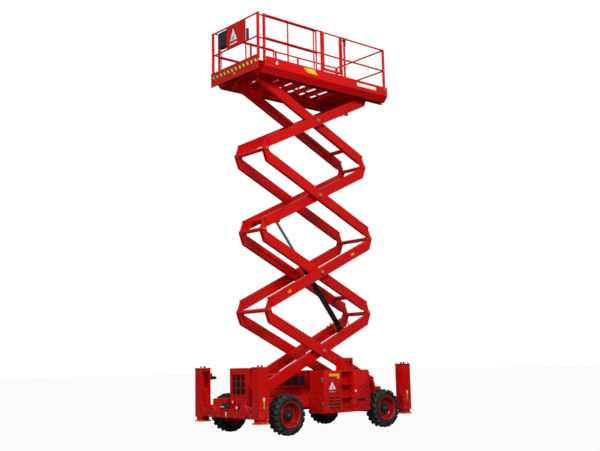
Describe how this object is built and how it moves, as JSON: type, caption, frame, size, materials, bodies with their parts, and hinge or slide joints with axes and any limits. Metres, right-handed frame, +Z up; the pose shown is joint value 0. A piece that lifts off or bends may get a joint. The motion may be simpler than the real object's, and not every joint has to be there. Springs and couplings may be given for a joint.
{
  "type": "self-propelled scissor lift",
  "caption": "Wheeled scissor lift with corner jacks, a tall stack of crossed arms, a lift cylinder and a railed platform with a sliding extension deck.",
  "frame": {"origin": "on the ground at the centre of the machine's outline, between the four wheels", "axes": "+X forward, +Y to the machine's left, +Z up"},
  "size_m": [4.524, 2.29, 9.14],
  "materials": {
    "red_paint": "glossy red enamel",
    "black_paint": "satin black",
    "tyre_rubber": "matt rubber",
    "bright_steel": "polished rod",
    "black_plastic": "matt plastic"
  },
  "bodies": {
    "chassis": {"chassis_frame": "red_paint", "front_axle": "black_paint", "rear_axle": "black_paint", "side_box_left": "red_paint", "side_box_right": "red_paint", "box_cover_left": "red_paint", "box_cover_right": "red_paint", "hydraulic_tank": "black_paint", "engine": "black_paint", "hose_guard": "red_paint", "grab_frame": "red_paint", "grille_box": "red_paint", "front_grille": "red_paint", "jack_housing_front_left": "red_paint", "jack_housing_front_right": "red_paint", "jack_housing_rear_left": "red_paint", "jack_housing_rear_right": "red_paint"},
    "inner_arms_1": {"inner_arms_1": "red_paint"},
    "outer_arms_1": {"outer_arms_1": "red_paint"},
    "inner_arms_2": {"inner_arms_2": "red_paint"},
    "outer_arms_2": {"outer_arms_2": "red_paint"},
    "inner_arms_3": {"inner_arms_3": "red_paint"},
    "outer_arms_3": {"outer_arms_3": "red_paint"},
    "inner_arms_4": {"inner_arms_4": "red_paint"},
    "outer_arms_4": {"outer_arms_4": "red_paint"},
    "lift_cylinder": {"lift_cylinder_barrel": "black_paint"},
    "lift_rod": {"lift_cylinder_rod": "bright_steel"},
    "platform": {"platform_frame": "red_paint", "platform_deck": "red_paint", "guard_rail_left_front": "red_paint", "guard_rail_rear_right": "red_paint"},
    "extension": {"extension_deck": "red_paint", "extension_rails": "red_paint", "sign_panel": "red_paint", "control_box": "black_plastic", "control_conduit": "black_plastic"},
    "gate": {"entry_gate": "red_paint"},
    "box_door_left": {"box_door_left": "red_paint"},
    "knuckle_left": {"steering_knuckle_left": "black_paint"},
    "wheel_front_left": {"rim_front_left": "red_paint", "tyre_front_left": "tyre_rubber"},
    "jack_front_left": {"jack_leg_front_left": "red_paint"},
    "wheel_rear_left": {"rim_rear_left": "red_paint", "tyre_rear_left": "tyre_rubber"},
    "jack_rear_left": {"jack_leg_rear_left": "red_paint"},
    "box_door_right": {"box_door_right": "red_paint"},
    "knuckle_right": {"steering_knuckle_right": "black_paint"},
    "wheel_front_right": {"rim_front_right": "red_paint", "tyre_front_right": "tyre_rubber"},
    "jack_front_right": {"jack_leg_front_right": "red_paint"},
    "wheel_rear_right": {"rim_rear_right": "red_paint", "tyre_rear_right": "tyre_rubber"},
    "jack_rear_right": {"jack_leg_rear_right": "red_paint"}
  },
  "joints": [
    {"name": "lift", "type": "hinge", "parent": "chassis", "child": "inner_arms_1", "pos_m": [1.486, 0, 0.841], "axis": [0, 1, 0], "range_deg": [-25.2, 23]},
    {"name": "centre_pivot_1", "type": "hinge", "parent": "inner_arms_1", "child": "outer_arms_1", "pos_m": [-0.08868, 0, 1.73082], "axis": [0, 1, 0], "range_deg": [-46.01, 50.41]},
    {"name": "end_pivot_1", "type": "hinge", "parent": "inner_arms_1", "child": "inner_arms_2", "pos_m": [-1.66336, 0, 2.62064], "axis": [0, 1, 0], "range_deg": [-46.01, 50.41]},
    {"name": "centre_pivot_2", "type": "hinge", "parent": "inner_arms_2", "child": "outer_arms_2", "pos_m": [-0.08868, 0, 3.51047], "axis": [0, 1, 0], "range_deg": [-50.41, 46.01]},
    {"name": "end_pivot_2", "type": "hinge", "parent": "inner_arms_2", "child": "inner_arms_3", "pos_m": [1.486, 0, 4.40029], "axis": [0, 1, 0], "range_deg": [-50.41, 46.01]},
    {"name": "centre_pivot_3", "type": "hinge", "parent": "inner_arms_3", "child": "outer_arms_3", "pos_m": [-0.08868, 0, 5.29011], "axis": [0, 1, 0], "range_deg": [-46.01, 50.41]},
    {"name": "end_pivot_3", "type": "hinge", "parent": "inner_arms_3", "child": "inner_arms_4", "pos_m": [-1.66336, 0, 6.17993], "axis": [0, 1, 0], "range_deg": [-46.01, 50.41]},
    {"name": "centre_pivot_4", "type": "hinge", "parent": "inner_arms_4", "child": "outer_arms_4", "pos_m": [-0.08868, 0, 7.06975], "axis": [0, 1, 0], "range_deg": [-50.41, 46.01]},
    {"name": "platform_pivot", "type": "hinge", "parent": "inner_arms_4", "child": "platform", "pos_m": [1.486, 0, 7.95958], "axis": [0, 1, 0], "range_deg": [-25.21, 23.01]},
    {"name": "cylinder_pivot", "type": "hinge", "parent": "inner_arms_1", "child": "lift_cylinder", "pos_m": [-1.149, 0, 2.22], "axis": [0, 1, 0], "range_deg": [-48.92, 53.6]},
    {"name": "cylinder_rod", "type": "slide", "parent": "lift_cylinder", "child": "lift_rod", "axis": [0.6203, 0, 0.7844], "range_m": [-1.0092, 0.9213]},
    {"name": "extension_slide", "type": "slide", "parent": "platform", "child": "extension", "axis": [1, 0, 0], "range_m": [0, 1.2]},
    {"name": "gate_hinge", "type": "hinge", "parent": "platform", "child": "gate", "pos_m": [-0.555, 0.8405, 8.58498], "axis": [0, 0, -1], "range_deg": [0, 90]},
    {"name": "box_door_left_hinge", "type": "hinge", "parent": "chassis", "child": "box_door_left", "pos_m": [0.447, 1.108, 0.85], "axis": [0, 0, -1], "range_deg": [0, 110]},
    {"name": "steering_left", "type": "hinge", "parent": "chassis", "child": "knuckle_left", "pos_m": [1.43, 0.7, 0.4275], "axis": [0, 0, 1], "range_deg": [-25, 25]},
    {"name": "wheel_front_left_spin", "type": "hinge", "parent": "knuckle_left", "child": "wheel_front_left", "pos_m": [1.43, 0.99, 0.4275], "axis": [0, 1, 0], "continuous": true},
    {"name": "wheel_rear_left_spin", "type": "hinge", "parent": "chassis", "child": "wheel_rear_left", "pos_m": [-1.43, 0.99, 0.4275], "axis": [0, 1, 0], "continuous": true},
    {"name": "jack_front_left_slide", "type": "slide", "parent": "chassis", "child": "jack_front_left", "axis": [0, 0, -1], "range_m": [0, 0.42]},
    {"name": "jack_rear_left_slide", "type": "slide", "parent": "chassis", "child": "jack_rear_left", "axis": [0, 0, -1], "range_m": [0, 0.42]},
    {"name": "box_door_right_hinge", "type": "hinge", "parent": "chassis", "child": "box_door_right", "pos_m": [0.447, -1.108, 0.85], "axis": [0, 0, 1], "range_deg": [0, 110]},
    {"name": "steering_right", "type": "hinge", "parent": "chassis", "child": "knuckle_right", "pos_m": [1.43, -0.7, 0.4275], "axis": [0, 0, 1], "range_deg": [-25, 25]},
    {"name": "wheel_front_right_spin", "type": "hinge", "parent": "knuckle_right", "child": "wheel_front_right", "pos_m": [1.43, -0.99, 0.4275], "axis": [0, 1, 0], "continuous": true},
    {"name": "wheel_rear_right_spin", "type": "hinge", "parent": "chassis", "child": "wheel_rear_right", "pos_m": [-1.43, -0.99, 0.4275], "axis": [0, 1, 0], "continuous": true},
    {"name": "jack_front_right_slide", "type": "slide", "parent": "chassis", "child": "jack_front_right", "axis": [0, 0, -1], "range_m": [0, 0.42]},
    {"name": "jack_rear_right_slide", "type": "slide", "parent": "chassis", "child": "jack_rear_right", "axis": [0, 0, -1], "range_m": [0, 0.42]}
  ],
  "couplings": [
    {"joint": "centre_pivot_1", "follows": "lift", "ratio": -2},
    {"joint": "end_pivot_1", "follows": "lift", "ratio": -2},
    {"joint": "centre_pivot_2", "follows": "lift", "ratio": 2},
    {"joint": "end_pivot_2", "follows": "lift", "ratio": 2},
    {"joint": "centre_pivot_3", "follows": "lift", "ratio": -2},
    {"joint": "end_pivot_3", "follows": "lift", "ratio": -2},
    {"joint": "centre_pivot_4", "follows": "lift", "ratio": 2},
    {"joint": "platform_pivot", "follows": "lift", "ratio": 1},
    {"joint": "cylinder_pivot", "follows": "lift", "ratio": -2.125},
    {"joint": "cylinder_rod", "follows": "lift", "m_per_rad": 2.29},
    {"joint": "steering_right", "follows": "steering_left", "ratio": 1}
  ]
}
